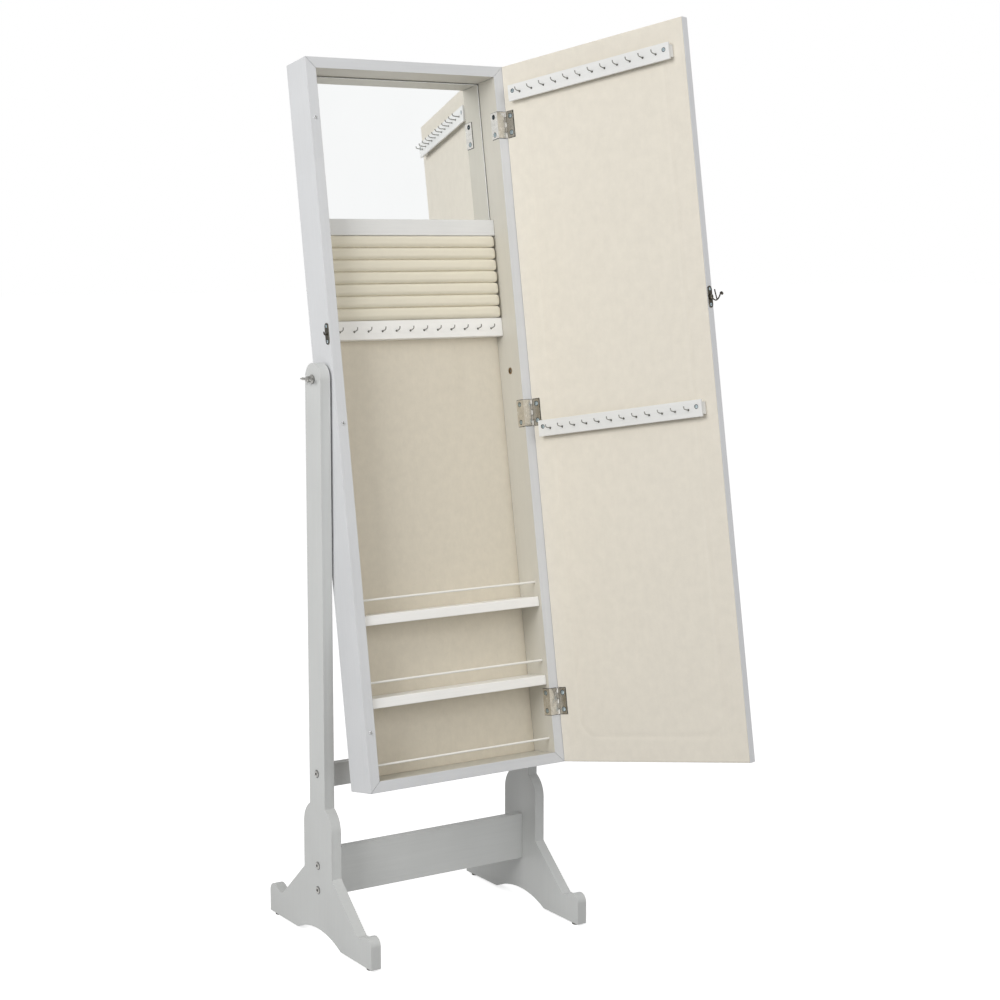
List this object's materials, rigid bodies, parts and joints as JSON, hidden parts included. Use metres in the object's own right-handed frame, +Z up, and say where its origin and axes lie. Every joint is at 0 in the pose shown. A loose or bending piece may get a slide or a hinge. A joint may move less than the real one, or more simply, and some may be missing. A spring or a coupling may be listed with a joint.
{
  "type": "jewelry armoire",
  "caption": "Tall free-standing jewelry cabinet in a cheval stand: the casing tilts and its mirror door opens on hooks, ring rolls, shelves and an inner mirror.",
  "frame": {"origin": "middle of the object's box on the floor, with the door at its rest opening", "axes": "+Z up, -Y is the side the cabinet faces, +X is the hinge side of the door"},
  "size_m": [0.5896, 0.7082, 1.5899],
  "materials": {
    "grey_paint": "satin pale grey paint over wood, faint brushed grain",
    "white_fitting": "satin white paint",
    "mirror_glass": "silvered glass with a bevelled edge",
    "fibreboard": "raw hardboard, hidden or at the back",
    "beige_lining": "short-pile beige cloth",
    "cream_lining": "woven cream cloth",
    "roll_cloth": "soft cream cloth over foam",
    "nickel": "bright nickel plate",
    "aged_metal": "dark antique plate with worn bright edges",
    "insert_brass": "plain brass",
    "glide_plastic": "dark matt plastic",
    "zinc_screw": "blue-white zinc plate",
    "clear_bumper": "clear soft plastic dome"
  },
  "bodies": {
    "stand": {"left_leg": "grey_paint", "right_leg": "grey_paint", "lower_crossbar": "grey_paint", "upper_crossbar": "grey_paint", "left_joint_bolt_1": "nickel", "left_joint_bolt_2": "nickel", "left_joint_bolt_3": "nickel", "right_joint_bolt_1": "nickel", "right_joint_bolt_2": "nickel", "right_joint_bolt_3": "nickel", "left_front_glide": "glide_plastic", "left_back_glide": "glide_plastic", "right_front_glide": "glide_plastic", "right_back_glide": "glide_plastic", "left_spacer_washer": "nickel", "right_spacer_washer": "nickel"},
    "casing": {"casing_left_side": "grey_paint", "casing_right_side": "grey_paint", "casing_top": "grey_paint", "casing_bottom": "grey_paint", "back_panel": "fibreboard", "back_lining": "beige_lining", "interior_mirror": "mirror_glass", "interior_mirror_backing": "fibreboard", "mirror_rail": "white_fitting", "ring_roll_1": "roll_cloth", "ring_roll_2": "roll_cloth", "ring_roll_3": "roll_cloth", "ring_roll_4": "roll_cloth", "ring_roll_5": "roll_cloth", "ring_roll_6": "roll_cloth", "ring_roll_7": "roll_cloth", "casing_hook_rail": "white_fitting", "shelf_1": "white_fitting", "shelf_2": "white_fitting", "guard_rod_1": "white_fitting", "guard_rod_2": "white_fitting", "guard_rod_3": "white_fitting", "catch_plate": "aged_metal", "left_threaded_insert": "insert_brass", "right_threaded_insert": "insert_brass", "casing_hinge_leaf_1": "nickel", "casing_hinge_leaf_2": "nickel", "casing_hinge_leaf_3": "nickel"},
    "door": {"door_left_stile": "grey_paint", "door_right_stile": "grey_paint", "door_top_rail": "grey_paint", "door_bottom_rail": "grey_paint", "door_mirror": "mirror_glass", "door_back_board": "fibreboard", "door_lining": "cream_lining", "door_hook_rail_1": "white_fitting", "door_hook_rail_2": "white_fitting", "door_hinge_leaf_1": "nickel", "door_hinge_leaf_2": "nickel", "door_hinge_leaf_3": "nickel", "latch_plate": "aged_metal"},
    "swing_hook": {"latch_hook": "aged_metal"},
    "left_screw": {"left_thumbscrew": "nickel"},
    "right_screw": {"right_thumbscrew": "nickel"}
  },
  "joints": [
    {"name": "casing_tilt", "type": "hinge", "parent": "stand", "child": "casing", "pos_m": [-0.05851, 0.16712, 0.9863], "axis": [1, 0, 0], "range_deg": [-14, 5.2]},
    {"name": "door_swing", "type": "hinge", "parent": "casing", "child": "door", "pos_m": [0.13649, 0.11944, 0.91424], "axis": [0, 0.1668, 0.986], "range_deg": [-107.2, 4]},
    {"name": "latch_swing", "type": "hinge", "parent": "door", "child": "swing_hook", "pos_m": [0.26225, -0.22246, 1.12623], "axis": [-0.2957, 0.9419, -0.1593], "range_deg": [-175, 25]},
    {"name": "left_screw_turn", "type": "hinge", "parent": "stand", "child": "left_screw", "pos_m": [-0.27991, 0.16712, 0.9863], "axis": [-1, 0, 0], "continuous": true},
    {"name": "right_screw_turn", "type": "hinge", "parent": "stand", "child": "right_screw", "pos_m": [0.16289, 0.16712, 0.9863], "axis": [1, 0, 0], "continuous": true}
  ]
}
